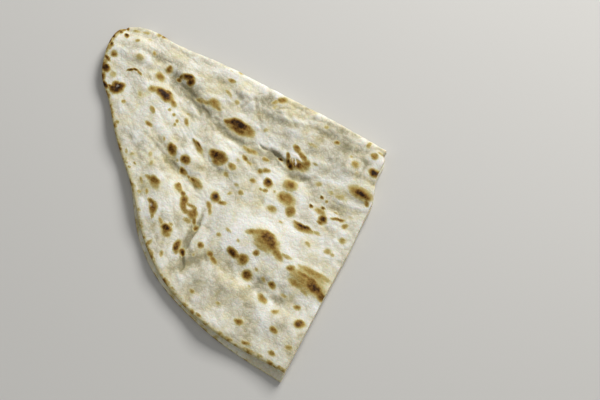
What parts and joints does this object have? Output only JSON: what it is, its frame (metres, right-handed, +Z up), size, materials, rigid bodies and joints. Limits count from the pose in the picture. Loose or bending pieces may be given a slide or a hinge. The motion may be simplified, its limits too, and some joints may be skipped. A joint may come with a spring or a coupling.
{
  "type": "folded naan",
  "caption": "Large thin flatbread cut across and folded once, with a rounded fold, a baked rim, a straight cut edge and browned blisters.",
  "frame": {"origin": "middle of the underside: the centre of the bounding box in plan, at the surface that the bread lies on", "axes": "+X along the fold from the rounded tip to the cut edge, +Y from the open rim towards the fold, +Z up"},
  "size_m": [0.2024, 0.1592, 0.0094],
  "materials": {
    "naan_crust": "dry floury baked crust, matte, with browned spots"
  },
  "bodies": {
    "root": {"naan": "naan_crust"}
  },
  "joints": []
}
